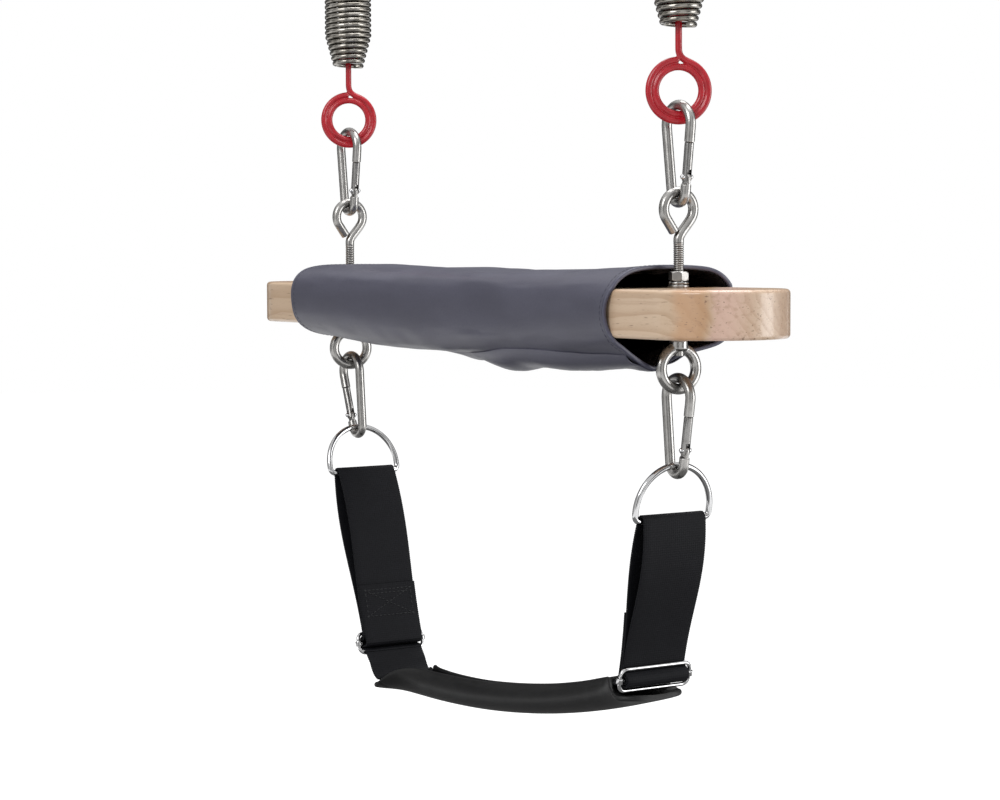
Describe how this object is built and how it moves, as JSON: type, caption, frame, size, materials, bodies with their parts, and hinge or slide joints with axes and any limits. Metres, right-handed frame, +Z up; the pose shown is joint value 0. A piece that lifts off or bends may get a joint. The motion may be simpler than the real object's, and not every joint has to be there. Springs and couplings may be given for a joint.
{
  "type": "trapeze bar",
  "caption": "Wooden trapeze bar in a padded sleeve, hung from extension springs by snap hooks, with a webbing sling and a rubber grip below it.",
  "frame": {"origin": "midway between the two upper spring eyes, where the inside of each eye bears on the hook that holds it", "axes": "+Z up, +X along the bar towards its right end, -Y the front, which faces whoever uses it"},
  "size_m": [0.532, 0.0936, 0.6029],
  "materials": {
    "wood": "clear satin lacquer",
    "vinyl": "satin",
    "lining": "matt",
    "stainless": "polished",
    "spring_steel": "bright drawn",
    "dipped_wire": "satin dip coat",
    "plated_wire": "bright plated",
    "webbing": "matt",
    "rubber": "matt"
  },
  "bodies": {
    "hangers": {"spring_left": "spring_steel", "spring_right": "spring_steel", "upper_spring_eye_left": "dipped_wire", "upper_spring_eye_right": "dipped_wire"},
    "lower_eyes": {"lower_spring_eye_left": "dipped_wire", "lower_spring_eye_right": "dipped_wire"},
    "upper_hooks": {"hook_upper_left": "stainless", "hook_upper_right": "stainless", "gate_pin_upper_left": "stainless", "gate_pin_upper_right": "stainless"},
    "upper_left_gate": {"gate_upper_left": "stainless", "gate_plunger_upper_left": "stainless"},
    "upper_right_gate": {"gate_upper_right": "stainless", "gate_plunger_upper_right": "stainless"},
    "bar": {"wooden_bar": "wood", "sleeve_cover": "vinyl", "sleeve_lining": "lining", "sleeve_binding_left": "vinyl", "sleeve_binding_right": "vinyl", "closure_flap": "vinyl", "eye_bolt_left": "stainless", "eye_bolt_right": "stainless", "top_nut_left": "stainless", "top_nut_right": "stainless", "spring_washer_left": "stainless", "spring_washer_right": "stainless", "top_washer_left": "stainless", "top_washer_right": "stainless", "under_washer_left": "stainless", "under_washer_right": "stainless", "eye_nut_left": "stainless", "eye_nut_right": "stainless"},
    "lower_hooks": {"hook_lower_left": "stainless", "hook_lower_right": "stainless", "gate_pin_lower_left": "stainless", "gate_pin_lower_right": "stainless"},
    "lower_left_gate": {"gate_lower_left": "stainless", "gate_plunger_lower_left": "stainless"},
    "lower_right_gate": {"gate_lower_right": "stainless", "gate_plunger_lower_right": "stainless"},
    "sling": {"d_ring_left": "plated_wire", "d_ring_right": "plated_wire", "slide_frame_left": "plated_wire", "slide_frame_right": "plated_wire", "slide_bar_left": "plated_wire", "slide_bar_right": "plated_wire", "webbing_strap": "webbing", "grip_tube": "rubber"}
  },
  "joints": [
    {"name": "spring_stretch", "type": "slide", "parent": "hangers", "child": "lower_eyes", "axis": [0, 0, -1], "range_m": [0, 0.1], "stiffness_N_per_m": 2000, "springref_m": -0.015, "deforming": ["spring_left", "spring_right"]},
    {"name": "upper_hooks_swing", "type": "hinge", "parent": "lower_eyes", "child": "upper_hooks", "pos_m": [0, 0, -0.2106], "axis": [1, 0, 0], "range_deg": [-60, 60]},
    {"name": "bar_swing", "type": "hinge", "parent": "upper_hooks", "child": "bar", "pos_m": [0, 0, -0.2666], "axis": [1, 0, 0], "range_deg": [-45, 45]},
    {"name": "lower_hooks_swing", "type": "hinge", "parent": "bar", "child": "lower_hooks", "pos_m": [0, 0, -0.3677], "axis": [1, 0, 0], "range_deg": [-60, 60]},
    {"name": "sling_swing", "type": "hinge", "parent": "lower_hooks", "child": "sling", "pos_m": [0, 0, -0.4237], "axis": [1, 0, 0], "range_deg": [-60, 60]},
    {"name": "upper_left_gate_hinge", "type": "hinge", "parent": "upper_hooks", "child": "upper_left_gate", "pos_m": [-0.18242, 0, -0.252], "axis": [0, -1, 0], "range_deg": [0, 25], "stiffness_Nm_per_rad": 0.02, "springref_deg": -20.05},
    {"name": "upper_right_gate_hinge", "type": "hinge", "parent": "upper_hooks", "child": "upper_right_gate", "pos_m": [0.19758, 0, -0.252], "axis": [0, -1, 0], "range_deg": [0, 25], "stiffness_Nm_per_rad": 0.02, "springref_deg": -20.05},
    {"name": "lower_left_gate_hinge", "type": "hinge", "parent": "lower_hooks", "child": "lower_left_gate", "pos_m": [-0.19016, 0, -0.40991], "axis": [0, 1, 0], "range_deg": [0, 25], "stiffness_Nm_per_rad": 0.02, "springref_deg": -20.05},
    {"name": "lower_right_gate_hinge", "type": "hinge", "parent": "lower_hooks", "child": "lower_right_gate", "pos_m": [0.19636, 0, -0.40934], "axis": [0, -1, 0], "range_deg": [0, 25], "stiffness_Nm_per_rad": 0.02, "springref_deg": -20.05}
  ]
}
